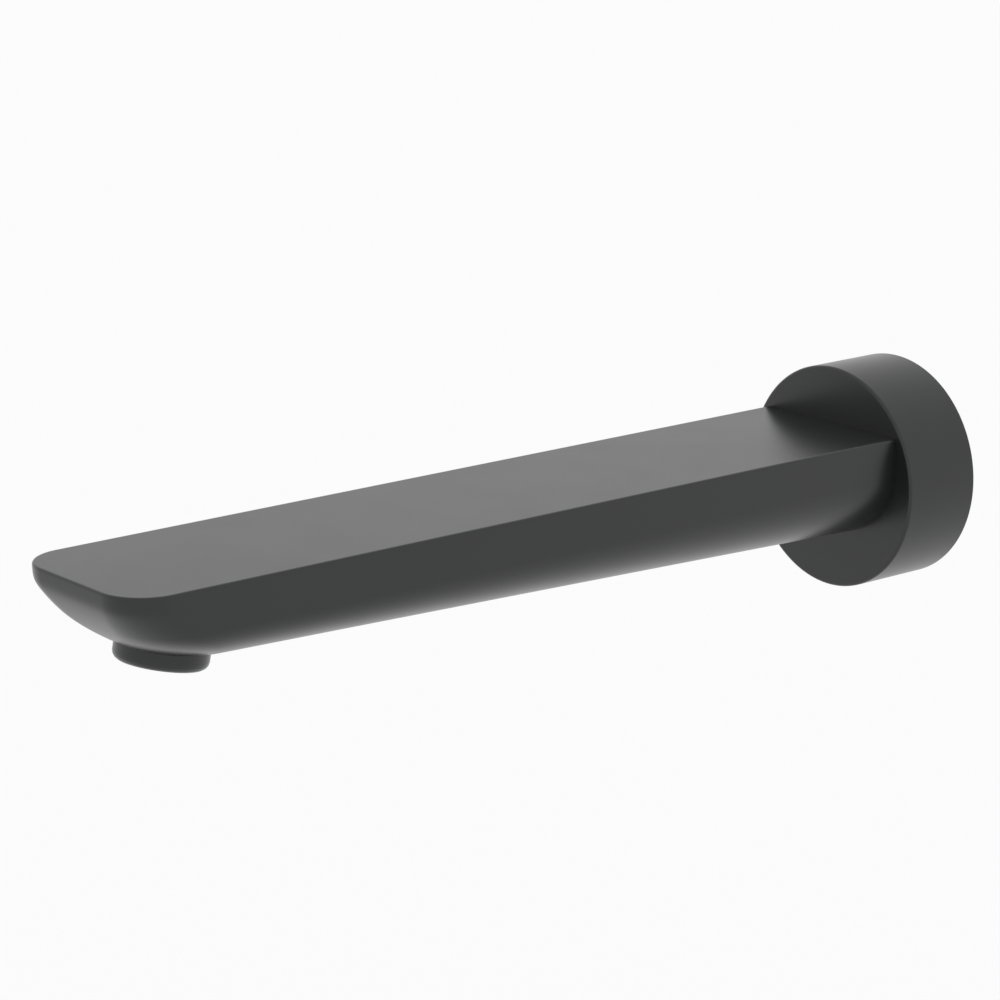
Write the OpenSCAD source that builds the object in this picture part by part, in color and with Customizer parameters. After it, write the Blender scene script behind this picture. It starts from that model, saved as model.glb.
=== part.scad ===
// Wall spout: a hull-shaped arm on a round flange, held on a wall spigot by a
// grub screw, with a screw-in aerator in a forward-tilted outlet.
// Axes: the wall is the plane Y = 0, the arm runs to -Y, up is +Z, and the
// origin is the centre of the flange's back face, on the inlet's axis.

/* [Flange] */
// Outer diameter of the round wall flange
flange_d = 50; // [48:0.5:70]
// Depth of the flange from the wall to its front face
flange_depth = 20; // [18:0.5:30]
// Thickness of the flange's front wall behind the arm
flange_front_wall = 4.5; // [3:0.5:6]
// Thickness of the flange's rim around the rear recess
flange_rim_wall = 4; // [3.5:0.25:5]
// Radius on the flange's front edge
flange_edge_r = 0.6; // [0.2:0.1:1.5]

/* [Arm] */
// Overall reach from the wall to the tip of the nose
arm_reach = 221; // [180:1:260]
// Width of the flat top face
arm_w = 40; // [36:1:42]
// Height of the top face above the inlet's axis
arm_top_z = 12.5; // [12:0.25:13.5]
// Height of the upright side faces, below which the belly begins
side_land = 9; // [7:0.5:10]
// Depth of the belly under the side faces at the flange
belly_root = 15.5; // [15:0.25:18]
// Depth of the belly under the side faces at the nose
belly_tip = 8.3; // [7.5:0.1:10]
// Radius on the edge between the top and the sides
arm_edge_r = 0.5; // [0.2:0.1:1]
// Thickness of the cast wall around the waterway
cast_wall = 3.2; // [2.5:0.1:4]

/* [Nose] */
// How far the keel is set back from the tip of the nose
nose_run = 32; // [28:1:40]
// Height of the upright land below the nose's top edge
nose_land = 3.4; // [1:0.1:5]
// Length of the soft turn between that land and the nose's curve
nose_blend = 1.2; // [0.4:0.2:2]
// Fullness of the nose's curve, where more is blunter
nose_power = 3.7; // [2.5:0.1:5]
// Radius of the nose's corners at the top face
corner_top_r = 9.5; // [6:0.5:14]
// Radius of the nose's corners at the keel, as far as the hull is wide enough
corner_keel_r = 15; // [12:0.5:19]

/* [Wall connection] */
// Major diameter of the male pipe thread
thread_d = 20.955; // [20.9:0.005:21]
// Length of the male pipe thread behind the wall
thread_len = 11; // [9:0.5:14]
// Diameter of the sealing spigot
spigot_d = 18; // [17:0.1:18.5]
// Diameter of the waterway through the spigot
spigot_bore_d = 9.5; // [8:0.25:9.75]
// Width across the flats of the hexagonal key socket in the spigot
spigot_key_af = 10; // [9.8:0.1:11]
// Diameter of the collar between the pipe thread and the spigot
spigot_collar_d = 24; // [22:0.5:26]
// Thickness of that collar
spigot_collar_h = 1.9; // [1.5:0.1:2.5]
// Depth of the key socket
spigot_key_depth = 9; // [6:0.5:12]
// Distance from the wall to the spigot's inner end
spigot_reach = 26; // [25:0.5:30]
// Diameter of the boss around the spigot
boss_d = 27; // [26:0.5:29]
// Radial clearance between the spigot and its socket
spigot_gap = 0.05; // [0.02:0.01:0.1]
// Cord diameter of the sealing rings as they sit between groove and socket
ring_cord = 1.7; // [1.4:0.1:2]
// Distance from the wall to the first sealing ring
ring_first = 16.5; // [16:0.25:18]
// Distance between the two sealing rings
ring_pitch = 4.6; // [4:0.1:5]

/* [Grub screw] */
// Diameter of the grub screw
grub_d = 6; // [5:0.5:6]
// Length of the grub screw's threaded body
grub_len = 5; // [4:0.5:7]
// Distance from the wall to the grub screw's axis
grub_reach = 8.5; // [8:0.25:9.5]
// Width across the flats of the grub screw's key socket
grub_key_af = 3; // [2.5:0.25:3]
// Diameter of the dog point that locks the spigot
dog_d = 4; // [3:0.25:4]
// Length of the dog point
dog_len = 1; // [0.8:0.1:1.5]
// Depth of the spigot's locking groove
lock_depth = 1; // [0.6:0.1:1.2]

/* [Wall seal] */
// Width of the rubber ring in the flange's back face
seal_w = 1.6; // [1.2:0.1:1.8]
// Depth of the groove that holds it
seal_depth = 1.5; // [1:0.1:2]

/* [Outlet] */
// Distance from the wall to the centre of the outlet's lower face
outlet_reach = 201; // [160:1:240]
// Height of the outlet's lower face, on its axis, under the inlet's axis
outlet_drop = 7.75; // [7:0.05:8.5]
// Forward tilt of the outlet
outlet_tilt = 11; // [8:0.5:13]
// Outer diameter of the aerator's collar
collar_d = 19; // [18.8:0.1:20]
// Height of the aerator's collar
collar_h = 5.2; // [5:0.1:6]
// Radius on the collar's lower edge
collar_edge_r = 1.7; // [0.5:0.1:2]
// Diameter of the aerator's thread
aerator_thread_d = 16.5; // [16.4:0.05:17]
// Length of the aerator's thread
aerator_thread_len = 3.8; // [3:0.1:4.5]
// Diameter of the bore that holds the aerator's inner parts
cartridge_d = 14.6; // [14:0.1:14.8]
// Diameter of the opening that the water leaves through
mouth_d = 13.2; // [12:0.1:13.4]
// Height of the lip that holds the inner parts
lip_h = 1.2; // [0.8:0.1:1.5]
// Thickness of the honeycomb at the mouth
comb_h = 2.2; // [1.5:0.1:2.5]
// Pitch of the honeycomb's cells
comb_pitch = 1.95; // [1.8:0.05:2.2]
// Wall between two cells of the honeycomb
comb_wall = 0.35; // [0.3:0.05:0.5]
// Rings of cells around the middle cell
comb_rings = 3; // [2:1:3]
// Number of jets in the jet plate
jet_count = 12; // [8:1:14]
// Diameter of each jet
jet_d = 1.1; // [0.8:0.1:1.3]
// Thickness of the jet plate
jet_plate_h = 1.5; // [1:0.1:2]
// Height of the strainer's cone
strainer_h = 3.2; // [2.5:0.1:3.5]
// Number of slots in the strainer
strainer_slots = 16; // [10:1:18]
// Width of the strainer's slots
strainer_slot_w = 0.6; // [0.4:0.1:0.7]
// Thickness of the strainer's wall
strainer_wall = 0.8; // [0.6:0.1:1]
// Thickness of the rubber washer above the aerator
washer_h = 1.3; // [1:0.1:1.6]

/* [Fits] */
// Clearance between faces that seat on each other
seat_gap = 0.05; // [0.02:0.01:0.1]
// Radial clearance of threads and of parts pushed into a bore
thread_gap = 0.04; // [0.02:0.01:0.1]
// Clearance on each side of a sealing ring's cord
ring_gap = 0.02; // [0.01:0.01:0.03]

/* [Hidden] */
$fn = 96;

black_coat = "#26282a";
bare_brass = "#c8a557";
dark_rubber = "#1a1a1a";
plain_steel = "#b4b7ba";
white_plastic = "#e6e7e4";

// How far cuts run past the faces they open
past = 0.5;
// Steps of a small rounded edge, a nose corner, the side faces, the belly and the core's belly
edge_steps = 4;
corner_steps = 14;
side_steps = 6;
belly_steps = 26;
core_steps = 8;
// The belly's quarter turn ends here, in a narrow flat keel
keel_angle = 87;
// Half width of the flat that every level keeps between the nose's corners
nose_flat = 0.3;

// Flange
flange_r = flange_d / 2;
recess_r = flange_r - flange_rim_wall;
recess_depth = flange_depth - flange_front_wall;
// Spigot and its socket
spigot_r = spigot_d / 2;
socket_r = spigot_r + spigot_gap;
socket_end = spigot_reach + seat_gap;
boss_start = spigot_collar_h + seat_gap;
throat_r = spigot_r - 2;
end_chamfer = 1;
// Sealing rings
ring_side_gap = 0.35;
ring_groove_w = ring_cord + 2 * ring_side_gap;
ring_floor_r = socket_r - ring_cord - 2 * ring_gap;
ring_centre_r = ring_floor_r + ring_gap + ring_cord / 2;
// Grub screw, whose dog point stands in the spigot's locking groove
lock_w = dog_d + 0.6;
lock_floor_r = spigot_r - lock_depth;
grub_tip_r = lock_floor_r + seat_gap;
grub_key_depth = grub_len * 0.55;
// Wall seal, in the middle of the flange's rim
seal_r = recess_r + flange_rim_wall / 2;
// Outlet, measured up its tilted axis from the collar's lower face
collar_r = collar_d / 2;
collar_gap = 0.15;
aerator_thread_r = aerator_thread_d / 2;
cartridge_r = cartridge_d / 2;
mouth_r = mouth_d / 2;
filling_r = cartridge_r - thread_gap;
housing_h = collar_h + aerator_thread_len;
comb_z = lip_h + seat_gap;
jet_plate_z = comb_z + comb_h + seat_gap;
strainer_z = jet_plate_z + jet_plate_h + seat_gap;
washer_z = housing_h + seat_gap;
shoulder_z = washer_z + washer_h + seat_gap;
outlet_boss_top = shoulder_z + 1.6;
outlet_boss_r = aerator_thread_r + cast_wall;
outlet_throat_r = aerator_thread_r - 1.5;
// Waterway in the arm: a cored space from the spigot to the outlet
core_start = socket_end + cast_wall;
core_end = outlet_reach + aerator_thread_d / 3;
core_corner_r = 6;
core_half_w = arm_w / 2 - cast_wall;
core_top_bevel = 2;
arm_start = flange_depth - flange_front_wall / 2;

// Depth of the belly at the distance d from the wall
function belly(d) =
    belly_root + (belly_tip - belly_root) * (d - flange_depth) / (arm_reach - flange_depth);

// Share of the way from the nose's land (0) to the keel (1), at the drop h below the top face
function nose_share(h) =
    let (past_land = h - nose_land)
    min(1, (past_land + norm([past_land, nose_blend])) / 2 / (side_land + belly_tip - nose_land));

function nose_curve(h) = nose_run * (1 - pow(1 - nose_share(h), 1 / nose_power));

// How far the nose is set back at the drop h below the top face
function nose_setback(h) = nose_curve(h) - nose_curve(0);

// Radius of the nose's corners at the drop h below the top face
function corner_r(h) =
    corner_top_r + (corner_keel_r - corner_top_r) * pow(nose_share(h), 0.75);

// A level of a hull holds, in this order: the drop of its flat part, its share of the
// belly, the wall that the belly is less by, its half width, its reach, its corner radius
function side_level(h, inset) =
    [h, 0, 0, arm_w / 2 - inset, arm_reach - nose_setback(h) - inset, corner_r(h) - inset];

function belly_level(angle) =
    let (h = side_land + belly_tip * sin(angle))
    [side_land, sin(angle), 0, arm_w / 2 * cos(angle), arm_reach - nose_setback(h), corner_r(h)];

function core_level(angle) =
    [side_land, sin(angle), cast_wall, core_half_w * cos(angle), core_end, core_corner_r];

// The arm's levels, from the rounded top edge down the sides and the belly to the keel
hull_levels = concat(
    [for (i = [0 : edge_steps])
        let (angle = 90 * i / edge_steps)
        side_level(arm_edge_r * (1 - cos(angle)), arm_edge_r * (1 - sin(angle)))],
    [for (i = [1 : side_steps])
        side_level(arm_edge_r + (side_land - arm_edge_r) * i / side_steps, 0)],
    [for (i = [1 : belly_steps]) belly_level(keel_angle * i / belly_steps)]
);

// The waterway's levels, one wall inside the arm's
core_levels = concat(
    [[cast_wall, 0, 0, core_half_w - core_top_bevel, core_end - core_top_bevel, core_corner_r],
     [cast_wall + core_top_bevel, 0, 0, core_half_w, core_end, core_corner_r]],
    [for (i = [0 : core_steps]) core_level(keel_angle * i / core_steps)]
);

// The right half of a level's outline, from the root to the middle of the nose
function half_outline(level, start) =
    let (a = level[3], reach = level[4], r = min(level[5], a - nose_flat))
    concat(
        [for (i = [0 : side_steps]) [a, start + (reach - r - start) * i / side_steps]],
        [for (i = [1 : corner_steps])
            let (angle = 90 * i / corner_steps)
            [a - r + r * cos(angle), reach - r + r * sin(angle)]]
    );

function level_height(level, d) =
    arm_top_z - level[0] - level[1] * (belly(d) - level[2]);

// A level's points: down the right side, around the nose and back up the left side
function level_points(level, start) =
    let (right = half_outline(level, start), last = len(right) - 1)
    let (outline = concat(right, [for (i = [last : -1 : 0]) [-right[i][0], right[i][1]]]))
    [for (p = outline) [p[0], -p[1], level_height(level, p[1])]];

// A closed solid through levels that all have the same number of points. Its end faces
// start at the middle of the nose, because the points along each side are in one line.
module loft(levels, start) {
    rings = [for (level = levels) level_points(level, start)];
    count = len(rings[0]);
    last = len(rings) - 1;
    end_face = [for (i = [1 : count]) (count / 2 - i + count) % count];
    polyhedron(
        points = [for (ring = rings) each ring],
        faces = concat(
            [[for (i = [count - 1 : -1 : 0]) end_face[i]]],
            [for (k = [0 : last - 1], i = [0 : count - 1])
                let (j = (i + 1) % count)
                [k * count + j, k * count + i, (k + 1) * count + i, (k + 1) * count + j]],
            [[for (i = end_face) last * count + i]]
        ),
        convexity = 4
    );
}

// Turns a shape built up along +Z so that it runs from the wall into the room
module along_arm() {
    rotate([90, 0, 0]) children();
}

// Places a shape built up along +Z on the tilted axis of the outlet
module at_outlet() {
    translate([0, -outlet_reach, -outlet_drop])
    rotate([-outlet_tilt, 0, 0])
    children();
}

// Places a shape built up along +Z so that it points from below at the spigot's axis
module at_grub_screw(radius) {
    translate([0, -grub_reach, -radius]) children();
}

// Points of a rounded edge of radius r about (x, y), a quarter turn from the angle given
function quarter(x, y, r, from) =
    [for (i = [0 : edge_steps])
        let (angle = from + 90 * i / edge_steps)
        [x + r * cos(angle), y + r * sin(angle)]];

// A straight bore up from z, of the height h
module bore(r, z, h) {
    translate([0, 0, z]) cylinder(r = r, h = h);
}

// A washer-shaped ring of the height h
module ring(r_in, r_out, h) {
    difference() {
        cylinder(r = r_out, h = h);
        bore(r_in, -past, h + 2 * past);
    }
}

// The flange as it is cast: a round cup with a rounded front edge
module flange() {
    along_arm()
    rotate_extrude()
    polygon(concat(
        [[0, 0], [flange_r, 0]],
        quarter(flange_r - flange_edge_r, flange_depth - flange_edge_r, flange_edge_r, 0),
        [[0, flange_depth]]
    ));
}

// What is open behind the flange: the rear recess around the boss, and the boss's setback
module flange_recess() {
    along_arm() {
        translate([0, 0, -past])
        ring(boss_d / 2, recess_r, recess_depth + past);
        bore(boss_d / 2 + past, -past, boss_start + past);
    }
}

// The spigot's socket, the throat behind it and the groove of the wall seal
module flange_bores() {
    along_arm() {
        bore(socket_r, -past, socket_end + past);
        bore(throat_r, socket_end - past, cast_wall + 2 * past);
        translate([0, 0, -past])
        ring(seal_r - seal_w / 2, seal_r + seal_w / 2, seal_depth + past);
    }
}

// The tapped hole from under the flange into the spigot's socket
module grub_hole() {
    at_grub_screw(flange_r + past)
    cylinder(r = grub_d / 2 + thread_gap, h = flange_r - socket_r + 2 * past);
}

// The cored waterway, less the boss that carries the aerator
module waterway() {
    difference() {
        loft(core_levels, core_start);
        at_outlet() bore(outlet_boss_r, -past, outlet_boss_top + past);
    }
}

// The outlet's counterbore, thread and throat
module outlet_bores() {
    at_outlet() {
        bore(collar_r + collar_gap, -collar_h, 2 * collar_h + seat_gap);
        bore(aerator_thread_r + thread_gap, collar_h, shoulder_z - collar_h);
        bore(outlet_throat_r, shoulder_z - past, outlet_boss_top - shoulder_z + 2 * past);
    }
}

module spout_body() {
    color(black_coat)
    difference() {
        union() {
            flange();
            loft(hull_levels, arm_start);
        }
        flange_recess();
        flange_bores();
        grub_hole();
        waterway();
        outlet_bores();
    }
}

// Outline of a groove in the spigot, from its near side to its far side
function groove(centre, width, floor_r) = [
    [spigot_r, centre - width / 2],
    [floor_r, centre - width / 2],
    [floor_r, centre + width / 2],
    [spigot_r, centre + width / 2],
];

module inlet_spigot() {
    thread_r = thread_d / 2;
    color(bare_brass)
    along_arm()
    difference() {
        rotate_extrude()
        polygon(concat(
            [[0, -thread_len], [thread_r - end_chamfer, -thread_len]],
            [[thread_r, end_chamfer - thread_len], [thread_r, 0]],
            [[spigot_collar_d / 2, 0], [spigot_collar_d / 2, spigot_collar_h]],
            [[spigot_r, spigot_collar_h]],
            groove(grub_reach, lock_w, lock_floor_r),
            groove(ring_first, ring_groove_w, ring_floor_r),
            groove(ring_first + ring_pitch, ring_groove_w, ring_floor_r),
            [[spigot_r, spigot_reach - end_chamfer]],
            [[spigot_r - end_chamfer, spigot_reach], [0, spigot_reach]]
        ));
        bore(spigot_bore_d / 2, -thread_len - past, thread_len + spigot_reach + 2 * past);
        translate([0, 0, spigot_reach - spigot_key_depth])
        cylinder(r = spigot_key_af / sqrt(3), h = spigot_key_depth + past, $fn = 6);
    }
}

// A sealing ring in its groove, at the distance from the wall given
module o_ring(centre) {
    color(dark_rubber)
    along_arm()
    translate([0, 0, centre])
    rotate_extrude()
    translate([ring_centre_r, 0])
    circle(d = ring_cord, $fn = 32);
}

module spigot_o_ring_front() {
    o_ring(ring_first);
}

module spigot_o_ring_rear() {
    o_ring(ring_first + ring_pitch);
}

module grub_screw() {
    color(plain_steel)
    at_grub_screw(grub_tip_r + dog_len + grub_len)
    difference() {
        union() {
            cylinder(d = grub_d, h = grub_len);
            cylinder(d = dog_d, h = grub_len + dog_len);
        }
        translate([0, 0, -past])
        cylinder(r = grub_key_af / sqrt(3), h = grub_key_depth + past, $fn = 6);
    }
}

module wall_seal() {
    color(dark_rubber)
    along_arm()
    ring(
        seal_r - seal_w / 2 + thread_gap,
        seal_r + seal_w / 2 - thread_gap,
        seal_depth - seat_gap
    );
}

module aerator_housing() {
    color(black_coat)
    at_outlet()
    rotate_extrude()
    polygon(concat(
        [[mouth_r, 0]],
        quarter(collar_r - collar_edge_r, collar_edge_r, collar_edge_r, -90),
        [[collar_r, collar_h], [aerator_thread_r, collar_h], [aerator_thread_r, housing_h]],
        [[cartridge_r, housing_h], [cartridge_r, lip_h], [mouth_r, lip_h]]
    ));
}

// A disc with a honeycomb of hexagonal cells
module aerator_honeycomb() {
    cell_r = (comb_pitch - comb_wall) / sqrt(3);
    row_pitch = comb_pitch * sqrt(3) / 2;
    color(white_plastic)
    at_outlet()
    translate([0, 0, comb_z])
    difference() {
        cylinder(r = filling_r, h = comb_h);
        for (row = [-comb_rings : comb_rings], column = [-comb_rings : comb_rings])
            if (abs(row + column) <= comb_rings)
                translate([comb_pitch * (column + row / 2), row_pitch * row, -past])
                rotate(30)
                cylinder(r = cell_r, h = comb_h + 2 * past, $fn = 6);
    }
}

// The plate that splits the flow into a ring of jets
module aerator_jet_plate() {
    color(white_plastic)
    at_outlet()
    translate([0, 0, jet_plate_z])
    difference() {
        cylinder(r = filling_r, h = jet_plate_h);
        for (i = [0 : jet_count - 1])
            rotate(360 * i / jet_count)
            translate([cartridge_r * 0.65, 0, -past])
            cylinder(d = jet_d, h = jet_plate_h + 2 * past, $fn = 24);
    }
}

// A slotted cone that keeps grit out of the jets
module aerator_strainer() {
    cone_r = cartridge_r - strainer_wall;
    tip_r = cone_r / 2;
    foot_h = strainer_wall;
    color(white_plastic)
    at_outlet()
    translate([0, 0, strainer_z])
    difference() {
        union() {
            cylinder(r = filling_r, h = foot_h);
            cylinder(r1 = cone_r, r2 = tip_r, h = strainer_h);
        }
        translate([0, 0, -strainer_wall])
        cylinder(r1 = cone_r, r2 = tip_r, h = strainer_h);
        for (i = [0 : strainer_slots - 1])
            rotate(360 * i / strainer_slots)
            translate([tip_r, -strainer_slot_w / 2, foot_h])
            cube([cone_r, strainer_slot_w, strainer_h - foot_h - strainer_wall]);
    }
}

module aerator_washer() {
    color(dark_rubber)
    at_outlet()
    translate([0, 0, washer_z])
    ring(outlet_throat_r, aerator_thread_r - thread_gap, washer_h);
}

spout_body();
inlet_spigot();
spigot_o_ring_front();
spigot_o_ring_rear();
grub_screw();
wall_seal();
aerator_housing();
aerator_honeycomb();
aerator_jet_plate();
aerator_strainer();
aerator_washer();
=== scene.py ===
import logging
import math
from collections.abc import Callable, Sequence
from dataclasses import dataclass, field
from enum import Enum

import bpy
from mathutils import Matrix, Vector


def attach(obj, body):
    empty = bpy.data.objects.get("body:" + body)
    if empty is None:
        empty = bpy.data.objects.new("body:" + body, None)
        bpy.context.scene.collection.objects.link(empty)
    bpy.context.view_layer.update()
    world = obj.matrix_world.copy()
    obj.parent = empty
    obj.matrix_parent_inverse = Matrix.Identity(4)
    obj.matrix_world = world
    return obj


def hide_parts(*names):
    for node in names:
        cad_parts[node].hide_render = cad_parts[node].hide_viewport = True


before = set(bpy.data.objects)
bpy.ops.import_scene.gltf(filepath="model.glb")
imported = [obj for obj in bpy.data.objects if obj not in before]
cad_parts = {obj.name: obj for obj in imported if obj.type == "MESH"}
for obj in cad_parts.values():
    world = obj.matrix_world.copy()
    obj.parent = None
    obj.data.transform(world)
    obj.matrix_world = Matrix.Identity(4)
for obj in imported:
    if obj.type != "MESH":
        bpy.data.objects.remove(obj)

log = logging.getLogger("wall_spout")
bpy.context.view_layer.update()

MM = 0.001
Outline = list[tuple[float, float]]


class Cut(Enum):
    """What a second solid does to the first."""

    JOIN = "UNION"
    REMOVE = "DIFFERENCE"


@dataclass(frozen=True)
class Axis:
    """A line that pieces are turned about.

    The angle zero is square to the line, on the side that is nearest to +X.
    """

    origin: Vector
    along: Vector
    zero: Vector = Vector((1, 0, 0))

    def point(self, radius: float, height: float, angle: float) -> Vector:
        """Gives the place of a point of a turned piece.

        Args:
            radius: Distance from the line.
            height: Distance along the line from its origin.
            angle: Turn about the line, in radians.

        Returns:
            The point in the frame.
        """
        across = self.along.cross(self.zero)
        outward = self.zero * math.cos(angle) + across * math.sin(angle)
        return self.origin + self.along * height + outward * radius


ARM_AXIS = Axis(Vector((0, 0, 0)), Vector((0, -1, 0)))


class Bench:
    """The modelling tools that the pieces are made with."""

    merge_distance = 0.0005 * MM

    @staticmethod
    def clear() -> None:
        """Leaves edit mode and selects nothing."""
        if bpy.context.object and bpy.context.object.mode != "OBJECT":
            bpy.ops.object.mode_set(mode="OBJECT")
        bpy.ops.object.select_all(action="DESELECT")

    @classmethod
    def close(cls, piece: bpy.types.Object, crease: float) -> None:
        """Merges a mesh's seams, caps its open ends and smooths it.

        Args:
            piece: The active object.
            crease: The angle in degrees above which an edge stays sharp.
        """
        bpy.ops.object.mode_set(mode="EDIT")
        bpy.ops.mesh.select_all(action="SELECT")
        bpy.ops.mesh.remove_doubles(threshold=cls.merge_distance)
        bpy.ops.mesh.dissolve_degenerate(threshold=cls.merge_distance)
        bpy.ops.mesh.select_all(action="SELECT")
        bpy.ops.mesh.fill_holes(sides=0)
        bpy.ops.mesh.select_all(action="SELECT")
        bpy.ops.mesh.normals_make_consistent(inside=False)
        bpy.ops.object.mode_set(mode="OBJECT")
        bpy.ops.object.shade_smooth_by_angle(angle=math.radians(crease))

    @classmethod
    def wrap(
        cls,
        name: str,
        columns: int,
        rows: int,
        place: Callable[[int, int], Vector],
        crease: float = 30,
    ) -> bpy.types.Object:
        """Wraps a grid around into a closed solid.

        Args:
            name: Name of the piece.
            columns: Steps around the piece, where the last meets the first.
            rows: Steps along it.
            place: Gives the place of the point in a column and a row.
            crease: The angle in degrees above which an edge stays sharp.

        Returns:
            The piece, with its open ends capped.
        """
        cls.clear()
        bpy.ops.mesh.primitive_grid_add(x_subdivisions=columns, y_subdivisions=rows, size=2)
        piece = bpy.context.object
        piece.name = piece.data.name = name
        for vertex in piece.data.vertices:
            column = round((vertex.co.x + 1) / 2 * columns)
            row = round((vertex.co.y + 1) / 2 * rows)
            vertex.co = place(column % columns, row)
        cls.close(piece, crease)
        return piece

    @classmethod
    def turn(
        cls,
        name: str,
        axis: Axis,
        outline: Sequence[tuple[float, float]],
        segments: int,
        shape: Callable[[float, float, float], float] | None = None,
        crease: float = 30,
    ) -> bpy.types.Object:
        """Turns an outline about an axis.

        Args:
            name: Name of the piece.
            axis: The axis.
            outline: Radius and height of each point, from axis to axis or all the way round.
            segments: Steps around.
            shape: Changes the radius, by radius, height and angle, such as for a thread.
            crease: The angle in degrees above which an edge stays sharp.

        Returns:
            The piece.
        """

        def place(column: int, row: int) -> Vector:
            radius, height = outline[row]
            angle = 2 * math.pi * column / segments
            if shape:
                radius = shape(radius, height, angle)
            return axis.point(radius, height, angle)

        return cls.wrap(name, segments, len(outline) - 1, place, crease)

    @classmethod
    def combine(
        cls, piece: bpy.types.Object, other: bpy.types.Object, cut: Cut, crease: float = 30
    ) -> None:
        """Joins a second solid to the first or removes it, and uses it up.

        Args:
            piece: The first solid, which is changed.
            other: The second solid, which is deleted.
            cut: Whether it is joined or removed.
            crease: The angle in degrees above which an edge stays sharp.
        """
        cls.clear()
        piece.select_set(True)
        bpy.context.view_layer.objects.active = piece
        modifier = piece.modifiers.new("combine", "BOOLEAN")
        modifier.operation = cut.value
        modifier.solver = "EXACT"
        modifier.object = other
        bpy.ops.object.modifier_apply(modifier=modifier.name)
        bpy.data.objects.remove(other)
        bpy.ops.object.shade_smooth_by_angle(angle=math.radians(crease))

    @staticmethod
    def arc(x: float, y: float, radius: float, start: float, steps: int) -> Outline:
        """Gives the points of a quarter turn.

        Args:
            x: Radius of the arc's centre from the axis.
            y: Height of the arc's centre.
            radius: The arc's own radius.
            start: Its first angle in degrees.
            steps: Steps in the quarter turn.

        Returns:
            The points, from the first angle on.
        """
        angles = [math.radians(start + 90 * step / steps) for step in range(steps + 1)]
        return [(x + radius * math.cos(a), y + radius * math.sin(a)) for a in angles]


class Sock:
    """A shader socket that Python's operators work on."""

    def __init__(self, shader: "Shader", socket: bpy.types.NodeSocket) -> None:
        """Keeps the socket and the shader that it is in."""
        self.shader = shader
        self.socket = socket

    def math(self, operation: str, *others: "Sock | float") -> "Sock":
        """Adds a Math node.

        Args:
            operation: The node's operation.
            others: What follows this socket in it.

        Returns:
            The node's result.
        """
        inputs = dict(enumerate((self, *others)))
        return self.shader.add("ShaderNodeMath", {"operation": operation}, inputs)

    def __add__(self, other: "Sock | float") -> "Sock":
        """Adds a value."""
        return self.math("ADD", other)

    __radd__ = __add__

    def __mul__(self, other: "Sock | float") -> "Sock":
        """Multiplies by a value."""
        return self.math("MULTIPLY", other)

    __rmul__ = __mul__

    def __sub__(self, other: "Sock | float") -> "Sock":
        """Takes a value away."""
        return self.math("SUBTRACT", other)

    def __rsub__(self, other: float) -> "Sock":
        """Takes this socket away from a value."""
        return self.shader.add("ShaderNodeMath", {"operation": "SUBTRACT"}, {0: other, 1: self})

    def __truediv__(self, other: "Sock | float") -> "Sock":
        """Divides by a value."""
        return self.math("DIVIDE", other)

    def __pow__(self, other: "Sock | float") -> "Sock":
        """Raises to a power."""
        return self.math("POWER", other)

    def rise(self, low: float, high: float) -> "Sock":
        """Gives a smooth step from 0 to 1.

        Args:
            low: The value where the step starts.
            high: The value where it ends.

        Returns:
            The step.
        """
        settings = {"interpolation_type": "SMOOTHSTEP"}
        inputs = {"Value": self, "From Min": low, "From Max": high}
        return self.shader.add("ShaderNodeMapRange", settings, inputs)


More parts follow.
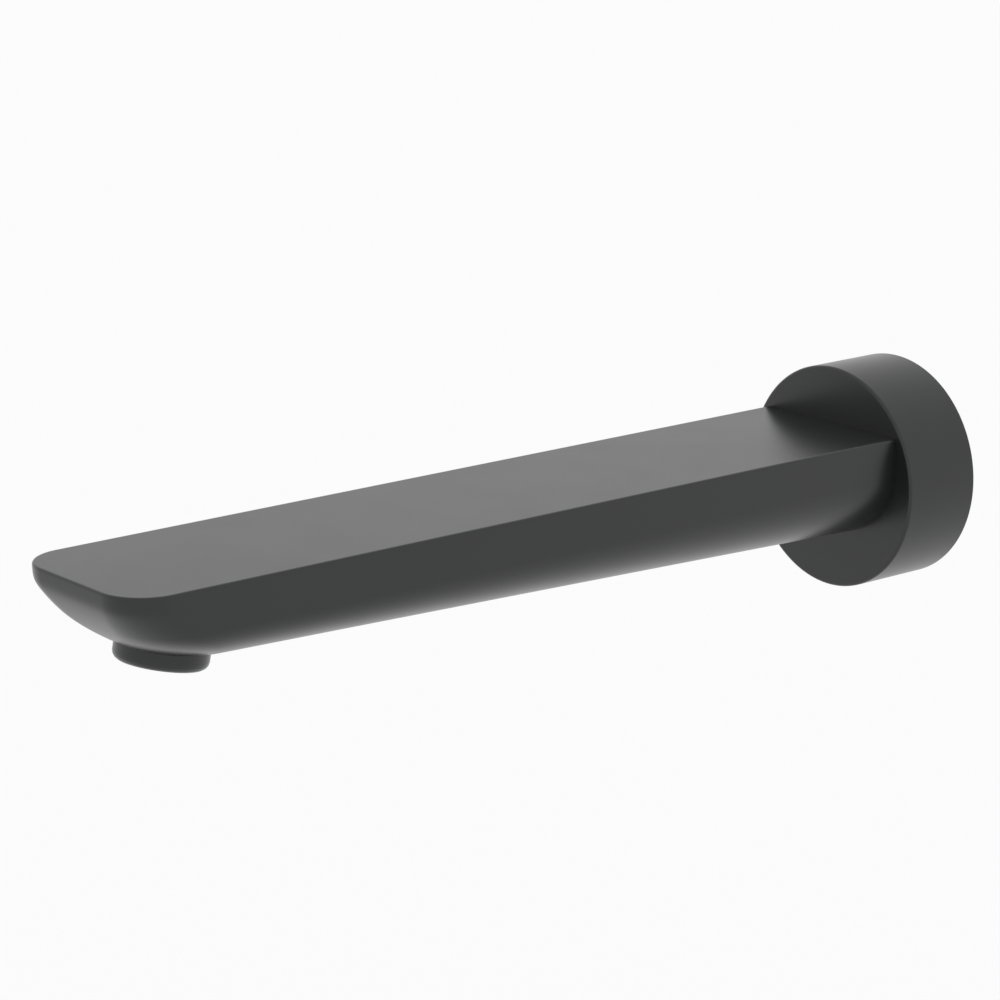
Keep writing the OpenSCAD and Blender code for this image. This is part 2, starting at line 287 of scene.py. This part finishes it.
class Shader:
    """A node tree that is built by adding nodes."""

    def __init__(self, tree: bpy.types.NodeTree) -> None:
        """Starts with an empty tree."""
        tree.nodes.clear()
        self.tree = tree

    def add(
        self,
        kind: str,
        settings: dict[str, object] | None = None,
        inputs: dict[str | int, object] | None = None,
        output: str | int = 0,
    ) -> Sock:
        """Adds a node.

        Args:
            kind: The node's type.
            settings: Its settings, which are set first. Stops fill a colour ramp.
            inputs: Values or sockets for its inputs, by name or number.
            output: Which output is wanted.

        Returns:
            That output.
        """
        node = self.tree.nodes.new(kind)
        for name, value in (settings or {}).items():
            if name == "stops":
                self._fill_ramp(node.color_ramp, value)
            else:
                setattr(node, name, value)
        for name, value in (inputs or {}).items():
            if isinstance(value, Sock):
                self.tree.links.new(value.socket, node.inputs[name])
            else:
                node.inputs[name].default_value = value
        return Sock(self, node.outputs[output]) if node.outputs else Sock(self, None)

    @staticmethod
    def _fill_ramp(ramp: bpy.types.ColorRamp, stops: Sequence[tuple[float, Sequence[float]]]) -> None:
        """Sets a colour ramp's stops from positions and colours."""
        while len(ramp.elements) < len(stops):
            ramp.elements.new(1)
        for element, (position, colour) in zip(ramp.elements, stops):
            element.position = position
            element.color = (*colour, 1)

    def mix(self, factor: Sock | float, first: object, second: object) -> Sock:
        """Mixes two colours.

        Args:
            factor: The second colour's share.
            first: A colour or a socket.
            second: A colour or a socket.

        Returns:
            The mixed colour.
        """
        colours = [
            (*colour, 1) if isinstance(colour, tuple) and len(colour) == 3 else colour
            for colour in (first, second)
        ]
        inputs = {0: factor, 6: colours[0], 7: colours[1]}
        return self.add("ShaderNodeMix", {"data_type": "RGBA"}, inputs, output=2)

    def place(self) -> Sock:
        """Gives the place of a point on the piece."""
        return self.add("ShaderNodeTexCoord", output="Object")

    def noise(self, size: float, detail: float = 2, vector: Sock | None = None) -> Sock:
        """Adds an even noise.

        Args:
            size: Size of its features in metres.
            detail: How many finer layers it has.
            vector: Where it is read, which is the place on the piece if left out.

        Returns:
            The noise, about 0.5 in the mean.
        """
        inputs = {"Vector": vector or self.place(), "Scale": 1 / size, "Detail": detail}
        return self.add("ShaderNodeTexNoise", {}, inputs)

    def relief(self, height: Sock, depth: float) -> Sock:
        """Gives a normal that follows a height.

        Args:
            height: The height, from 0 to 1.
            depth: How far 1 stands above 0, in metres.

        Returns:
            The normal.
        """
        return self.add("ShaderNodeBump", {}, {"Height": height, "Distance": depth, "Strength": 1.0})


@dataclass(frozen=True)
class Finish:
    """What every finish shares."""

    name: str
    slot: str

    def material(self) -> bpy.types.Material:
        """Makes the finish's material, or gives it back if it exists."""
        made = bpy.data.materials.get(self.name)
        if made:
            return made
        made = bpy.data.materials.new(self.name)
        made.use_nodes = True
        shader = Shader(made.node_tree)
        surface = self.surface(shader)
        shader.add("ShaderNodeOutputMaterial", {}, {"Surface": surface})
        return made

    def surface(self, shader: Shader) -> Sock:
        """Builds the finish's nodes and returns its surface."""
        raise NotImplementedError

    def dress(self, piece: bpy.types.Object) -> None:
        """Puts the finish on a piece, in all of its material slots.

        Args:
            piece: A new piece or a CAD node.
        """
        if not piece.data.materials:
            piece.data.materials.append(None)
        for place in piece.material_slots:
            place.material = self.material()


@dataclass(frozen=True)
class SatinCoat(Finish):
    """A thin satin black coat: nearly black, with a fine grain in its gloss."""

    colour: tuple[float, float, float] = (0.0075, 0.0085, 0.0085)
    worn_colour: tuple[float, float, float] = (0.0095, 0.0098, 0.0105)
    roughness: float = 0.3
    roughness_spread: float = 0.05
    cloud_size: float = 18 * MM
    grain_size: float = 0.35 * MM
    grain_depth: float = 0.0008 * MM
    refraction: float = 1.5

    def surface(self, shader: Shader) -> Sock:
        """Builds the coat's nodes."""
        clouds = shader.noise(self.cloud_size)
        grain = shader.noise(self.grain_size, 3)
        inputs = {
            "Base Color": shader.mix(clouds, self.colour, self.worn_colour),
            "Roughness": self.roughness + self.roughness_spread * (clouds + grain - 1),
            "IOR": self.refraction,
            "Normal": shader.relief(grain, self.grain_depth),
        }
        return shader.add("ShaderNodeBsdfPrincipled", {}, inputs)


@dataclass(frozen=True)
class TurnedMetal(Finish):
    """Bare metal as it comes off the lathe, with fine rings around the axis."""

    colour: tuple[float, float, float] = (0.72, 0.5, 0.22)
    dull_colour: tuple[float, float, float] = (0.56, 0.38, 0.16)
    roughness: float = 0.28
    roughness_spread: float = 0.12
    stain_size: float = 4 * MM
    line_size: float = 0.22 * MM
    line_depth: float = 0.003 * MM

    def surface(self, shader: Shader) -> Sock:
        """Builds the metal's nodes."""
        stains = shader.noise(self.stain_size, 4)
        stretch = shader.add(
            "ShaderNodeVectorMath",
            {"operation": "MULTIPLY"},
            {0: shader.place(), 1: (0.02, 1.0, 0.02)},
        )
        lines = shader.noise(self.line_size, 2, stretch)
        inputs = {
            "Base Color": shader.mix(stains.rise(0.4, 0.7), self.colour, self.dull_colour),
            "Metallic": 1.0,
            "Roughness": self.roughness + self.roughness_spread * (stains - 0.5),
            "Normal": shader.relief(lines, self.line_depth),
        }
        return shader.add("ShaderNodeBsdfPrincipled", {}, inputs)


@dataclass(frozen=True)
class Moulded(Finish):
    """A moulded piece of rubber or plastic."""

    colour: tuple[float, float, float] = (0.03, 0.03, 0.03)
    pale_colour: tuple[float, float, float] = (0.045, 0.045, 0.044)
    roughness: float = 0.6
    roughness_spread: float = 0.1
    cloud_size: float = 3 * MM
    grain_size: float = 0.12 * MM
    grain_depth: float = 0.004 * MM

    def surface(self, shader: Shader) -> Sock:
        """Builds the piece's nodes."""
        clouds = shader.noise(self.cloud_size)
        grain = shader.noise(self.grain_size)
        inputs = {
            "Base Color": shader.mix(clouds, self.colour, self.pale_colour),
            "Roughness": self.roughness + self.roughness_spread * (grain - 0.5),
            "Normal": shader.relief(grain, self.grain_depth),
        }
        return shader.add("ShaderNodeBsdfPrincipled", {}, inputs)


SATIN_COAT = SatinCoat("satin_black_coat", "black_coat")
BRASS = TurnedMetal("turned_brass", "bare_brass")
STEEL = TurnedMetal(
    "zinc_plated_steel",
    "plain_steel",
    colour=(0.58, 0.59, 0.6),
    dull_colour=(0.42, 0.43, 0.45),
    roughness=0.32,
)
RUBBER = Moulded("black_rubber", "dark_rubber")
PLASTIC = Moulded(
    "white_plastic",
    "white_plastic",
    colour=(0.8, 0.81, 0.79),
    pale_colour=(0.86, 0.86, 0.84),
    roughness=0.42,
    grain_depth=0.002 * MM,
)


@dataclass(frozen=True)
class Level:
    """One outline of a hull.

    Attributes:
        drop: How far its flat part lies below the top face.
        share: Its share of the belly's depth.
        half_width: Half of its width.
        reach: How far it reaches from the wall.
        corner: Radius of its corners at the nose.
        less: How much less the belly is for it.
    """

    drop: float
    share: float
    half_width: float
    reach: float
    corner: float
    less: float = 0


@dataclass
class Hull:
    """The arm's own form: a flat top, upright sides, a belly and a rounded nose."""

    start: float = 17.75 * MM
    root: float = 20 * MM
    reach: float = 221 * MM
    width: float = 40 * MM
    top: float = 12.5 * MM
    side_land: float = 9 * MM
    belly_root: float = 15.5 * MM
    belly_tip: float = 8.3 * MM
    edge_radius: float = 0.5 * MM
    hold: float = 0.3 * MM
    nose_run: float = 32 * MM
    nose_land: float = 3.4 * MM
    nose_blend: float = 1.2 * MM
    nose_power: float = 3.7
    corner_top: float = 9.5 * MM
    corner_keel: float = 15 * MM
    nose_flat: float = 0.2 * MM
    keel_angle: float = 88.5
    edge_steps: int = 6
    side_steps: int = 18
    belly_steps: int = 64
    straight_steps: int = 40
    corner_steps: int = 30
    flat_steps: int = 5

    def belly(self, distance: float) -> float:
        """Gives the belly's depth at a distance from the wall."""
        along = (distance - self.root) / (self.reach - self.root)
        return self.belly_root + (self.belly_tip - self.belly_root) * along

    def nose_share(self, drop: float) -> float:
        """Gives the share of the way from the nose's land to the keel."""
        past = drop - self.nose_land
        soft = (past + math.hypot(past, self.nose_blend)) / 2
        return min(1, soft / (self.side_land + self.belly_tip - self.nose_land))

    def nose_setback(self, drop: float) -> float:
        """Gives how far the nose is set back at a drop below the top face."""
        return self.nose_run * (1 - (1 - self.nose_share(drop)) ** (1 / self.nose_power))

    def corner(self, drop: float) -> float:
        """Gives the radius of the nose's corners at a drop below the top face."""
        return self.corner_top + (self.corner_keel - self.corner_top) * self.nose_share(drop) ** 0.75

    def side_level(self, drop: float, inset: float) -> Level:
        """Gives a level of the upright sides.

        Args:
            drop: How far it lies below the top face.
            inset: How far it stands in from the side.

        Returns:
            The level.
        """
        reach = self.reach - self.nose_setback(drop) + self.nose_setback(0) - inset
        return Level(drop, 0, self.width / 2 - inset, reach, self.corner(drop) - inset)

    def belly_level(self, degrees: float) -> Level:
        """Gives a level of the belly, by its angle around the half ellipse."""
        angle = math.radians(degrees)
        drop = self.side_land + self.belly_tip * math.sin(angle)
        reach = self.reach - self.nose_setback(drop) + self.nose_setback(0)
        half_width = self.width / 2 * math.cos(angle)
        return Level(self.side_land, math.sin(angle), half_width, reach, self.corner(drop))

    def levels(self) -> list[Level]:
        """Gives all levels, from the top face to the keel."""
        radius = self.edge_radius
        found = [self.side_level(0, radius + self.hold)]
        for step in range(self.edge_steps + 1):
            angle = math.pi / 2 * step / self.edge_steps
            found.append(self.side_level(radius * (1 - math.cos(angle)), radius * (1 - math.sin(angle))))
        first = radius + self.hold
        for step in range(self.side_steps + 1):
            found.append(self.side_level(first + (self.side_land - first) * step / self.side_steps, 0))
        for step in range(1, self.belly_steps + 1):
            found.append(self.belly_level(self.keel_angle * step / self.belly_steps))
        return found

    def half_outline(self, level: Level) -> Outline:
        """Gives the right half of a level's outline.

        Args:
            level: The level.

        Returns:
            Distance from the middle plane and from the wall, from the root to the nose.
        """
        radius = min(level.corner, level.half_width - self.nose_flat)
        straight = level.reach - radius - self.start
        points = [
            (level.half_width, self.start + straight * step / self.straight_steps)
            for step in range(self.straight_steps)
        ]
        points += Bench.arc(
            level.half_width - radius, level.reach - radius, radius, 0, self.corner_steps
        )
        flat = level.half_width - radius
        points += [
            (flat * (1 - step / self.flat_steps), level.reach) for step in range(1, self.flat_steps)
        ]
        return points

    def build(self, name: str) -> bpy.types.Object:
        """Makes the form as a closed solid.

        Args:
            name: Name of the piece.

        Returns:
            The piece.
        """
        levels = self.levels()
        rows = []
        for level in levels:
            right = self.half_outline(level)
            middle = [(0.0, level.reach)]
            rows.append((level, right + middle + [(-x, d) for x, d in reversed(right)]))

        def place(column: int, row: int) -> Vector:
            level, outline = rows[row]
            x, distance = outline[column]
            depth = level.share * (self.belly(distance) - level.less)
            return Vector((x, -distance, self.top - level.drop - depth))

        return Bench.wrap(name, len(rows[0][1]), len(levels) - 1, place)


@dataclass
class Waterway(Hull):
    """The cored space in the arm."""

    start: float = 29.25 * MM
    wall: float = 3.2 * MM
    bevel: float = 2 * MM
    end: float = 206.5 * MM
    corner_inside: float = 6 * MM
    belly_steps: int = 12
    straight_steps: int = 4
    corner_steps: int = 8

    def levels(self) -> list[Level]:
        """Gives the core's levels, one wall inside the arm's."""
        half = self.width / 2 - self.wall
        top = [
            Level(self.wall, 0, half - self.bevel, self.end - self.bevel, self.corner_inside),
            Level(self.wall + self.bevel, 0, half, self.end, self.corner_inside),
        ]
        for step in range(self.belly_steps + 1):
            angle = math.radians(self.keel_angle * step / self.belly_steps)
            share = math.sin(angle)
            level = Level(
                self.side_land, share, half * math.cos(angle), self.end, self.corner_inside, self.wall
            )
            top.append(level)
        return top


@dataclass
class Flange:
    """The round cup against the wall."""

    radius: float = 25 * MM
    depth: float = 20 * MM
    front_wall: float = 4.5 * MM
    rim_wall: float = 4 * MM
    edge_radius: float = 0.6 * MM
    boss_radius: float = 13.5 * MM
    boss_start: float = 1.95 * MM
    socket_radius: float = 9.05 * MM
    seal_inner: float = 22.2 * MM
    seal_outer: float = 23.8 * MM
    seal_depth: float = 1.5 * MM
    hold: float = 0.2 * MM
    edge_steps: int = 8
    segments: int = 192

    def build(self, name: str) -> bpy.types.Object:
        """Turns the cup, with its rear recess, boss and seal groove.

        Args:
            name: Name of the piece.

        Returns:
            The piece.
        """
        recess = self.radius - self.rim_wall
        floor = self.depth - self.front_wall
        outline = [
            (self.socket_radius, self.boss_start),
            (self.boss_radius, self.boss_start),
            (self.boss_radius, floor),
            (recess, floor),
            (recess, 0),
            (self.seal_inner, 0),
            (self.seal_inner, self.seal_depth),
            (self.seal_outer, self.seal_depth),
            (self.seal_outer, 0),
            (self.radius, 0),
            (self.radius, self.depth - self.edge_radius - self.hold),
        ]
        outline += Bench.arc(
            self.radius - self.edge_radius,
            self.depth - self.edge_radius,
            self.edge_radius,
            0,
            self.edge_steps,
        )
        outline += [(self.radius - self.edge_radius - self.hold, self.depth)]
        outline += [(self.socket_radius, self.depth), outline[0]]
        return Bench.turn(name, ARM_AXIS, outline, self.segments)


@dataclass
class Outlet:
    """The bores of the tilted outlet and the boss that is left around them."""

    reach: float = 201 * MM
    drop: float = 7.75 * MM
    tilt: float = 11
    counterbore_radius: float = 9.65 * MM
    counterbore_start: float = -5.2 * MM
    counterbore_end: float = 5.25 * MM
    thread_radius: float = 8.29 * MM
    shoulder: float = 10.4 * MM
    throat_radius: float = 6.75 * MM
    boss_radius: float = 11.45 * MM
    boss_top: float = 12 * MM
    past: float = 0.5 * MM
    segments: int = 128

    def axis(self) -> Axis:
        """Gives the outlet's axis, from the middle of its lower face up."""
        tilt = math.radians(self.tilt)
        origin = Vector((0, -self.reach, -self.drop))
        return Axis(origin, Vector((0, math.sin(tilt), math.cos(tilt))))

    def boss(self) -> bpy.types.Object:
        """Makes the round boss that the waterway's core leaves standing."""
        outline = [
            (0, -self.past),
            (self.boss_radius, -self.past),
            (self.boss_radius, self.boss_top),
            (0, self.boss_top),
        ]
        return Bench.turn("outlet_boss", self.axis(), outline, self.segments)

    def bores(self) -> bpy.types.Object:
        """Makes what is bored out: the counterbore, the thread's bore and the throat."""
        outline = [
            (0, self.counterbore_start),
            (self.counterbore_radius, self.counterbore_start),
            (self.counterbore_radius, self.counterbore_end),
            (self.thread_radius, self.counterbore_end),
            (self.thread_radius, self.shoulder),
            (self.throat_radius, self.shoulder),
            (self.throat_radius, self.boss_top + self.past),
            (0, self.boss_top + self.past),
        ]
        return Bench.turn("outlet_bores", self.axis(), outline, self.segments)


@dataclass
class SpoutBody:
    """The cast body: the flange and the arm in one, with all its bores."""

    name: str = "spout_casting"
    hull: Hull = field(default_factory=Hull)
    waterway: Waterway = field(default_factory=Waterway)
    flange: Flange = field(default_factory=Flange)
    outlet: Outlet = field(default_factory=Outlet)
    socket_end: float = 26.05 * MM
    throat_radius: float = 7 * MM
    grub_reach: float = 8.5 * MM
    grub_radius: float = 3.04 * MM
    past: float = 0.5 * MM
    crease: float = 30

    def grub_hole(self) -> bpy.types.Object:
        """Makes the hole from under the flange into the spigot's socket."""
        bottom = self.flange.radius + self.past
        height = self.flange.radius - self.flange.socket_radius + 2 * self.past
        axis = Axis(Vector((0, -self.grub_reach, -bottom)), Vector((0, 0, 1)))
        outline = [(0, 0), (self.grub_radius, 0), (self.grub_radius, height), (0, height)]
        return Bench.turn("grub_hole", axis, outline, 64)

    def build(self) -> bpy.types.Object:
        """Makes the body.

        Returns:
            The piece.
        """
        body = self.flange.build(self.name)
        Bench.combine(body, self.hull.build("arm"), Cut.JOIN)
        socket = [
            (0, -self.past),
            (self.flange.socket_radius, -self.past),
            (self.flange.socket_radius, self.socket_end),
            (self.throat_radius, self.socket_end),
            (self.throat_radius, self.waterway.start + self.past),
            (0, self.waterway.start + self.past),
        ]
        core = self.waterway.build("core")
        Bench.combine(core, self.outlet.boss(), Cut.REMOVE)
        cuts = (
            Bench.turn("socket", ARM_AXIS, socket, self.flange.segments),
            core,
            self.outlet.bores(),
            self.grub_hole(),
        )
        for bored in cuts:
            Bench.combine(body, bored, Cut.REMOVE)
        Bench.close(body, self.crease)
        return body

    def dress(self, body: bpy.types.Object) -> None:
        """Puts the coat on the body and enters it in the frame."""
        SATIN_COAT.dress(body)
        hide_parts("spout_body")
        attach(body, "root")


@dataclass
class Studio:
    """A pale floor, soft light and the camera."""

    floor_drop: float = 450 * MM
    floor_size: float = 30.0
    floor_colour: tuple[float, float, float] = (0.97, 0.97, 0.97)
    azimuth: float = 50.1317
    elevation: float = 15.0342
    roll: float = 0.3431
    lens: float = 129.413
    sensor: float = 36
    eye: tuple[float, float, float] = (549.254 * MM, -574.543 * MM, 202.803 * MM)

    def camera(self) -> None:
        """Puts the camera where the photograph was taken from."""
        azimuth, elevation, roll = (math.radians(v) for v in (self.azimuth, self.elevation, self.roll))
        back = Vector(
            (
                math.sin(azimuth) * math.cos(elevation),
                -math.cos(azimuth) * math.cos(elevation),
                math.sin(elevation),
            )
        )
        level = Vector((math.cos(azimuth), math.sin(azimuth), 0))
        above = back.cross(level)
        right = level * math.cos(roll) + above * math.sin(roll)
        up = above * math.cos(roll) - level * math.sin(roll)
        data = bpy.data.cameras.new("camera")
        data.lens = self.lens
        data.sensor_width = self.sensor
        camera = bpy.data.objects.new("camera", data)
        turn = Matrix((right, up, back)).transposed().to_4x4()
        camera.matrix_world = Matrix.Translation(Vector(self.eye)) @ turn
        bpy.context.scene.collection.objects.link(camera)
        bpy.context.scene.camera = camera

    def floor(self) -> None:
        """Lays the pale floor."""
        Bench.clear()
        bpy.ops.mesh.primitive_plane_add(size=self.floor_size, location=(0, 0, -self.floor_drop))
        floor = bpy.context.object
        floor.name = "floor"
        bpy.ops.object.transform_apply(location=True, rotation=True, scale=True)
        material = bpy.data.materials.new("pale_floor")
        material.use_nodes = True
        shader = Shader(material.node_tree)
        plain = shader.add("ShaderNodeBsdfDiffuse", {}, {"Color": (*self.floor_colour, 1)})
        shader.add("ShaderNodeOutputMaterial", {}, {"Surface": plain})
        floor.data.materials.append(material)

    def world(self) -> None:
        """Lights the set from all around."""
        world = bpy.data.worlds.new("studio")
        world.use_nodes = True
        bpy.context.scene.world = world
        shader = Shader(world.node_tree)
        light = shader.add("ShaderNodeBackground", {}, {"Color": (1, 1, 1, 1), "Strength": 1.0})
        shader.add("ShaderNodeOutputWorld", {}, {"Surface": light})

    def build(self) -> None:
        """Sets up the whole studio."""
        self.camera()
        self.floor()
        self.world()
        bpy.context.scene.view_settings.view_transform = "Standard"


NODE_FINISHES: dict[str, Finish] = {
    "inlet_spigot": BRASS,
    "spigot_o_ring_front": RUBBER,
    "spigot_o_ring_rear": RUBBER,
    "grub_screw": STEEL,
    "wall_seal": RUBBER,
    "aerator_housing": SATIN_COAT,
    "aerator_honeycomb": PLASTIC,
    "aerator_jet_plate": PLASTIC,
    "aerator_strainer": PLASTIC,
    "aerator_washer": RUBBER,
}


def dress_nodes() -> None:
    """Puts a finish on every CAD node that is shown as it is."""
    for name, finish in NODE_FINISHES.items():
        finish.dress(bpy.data.objects[name])


def main() -> None:
    """Builds and dresses every piece."""
    logging.basicConfig(level=logging.INFO, format="%(name)s: %(message)s")
    Studio().build()
    spout = SpoutBody()
    body = spout.build()
    spout.dress(body)
    dress_nodes()
    log.info("%s: %d faces", body.name, len(body.data.polygons))


if __name__ == "__main__":
    main()
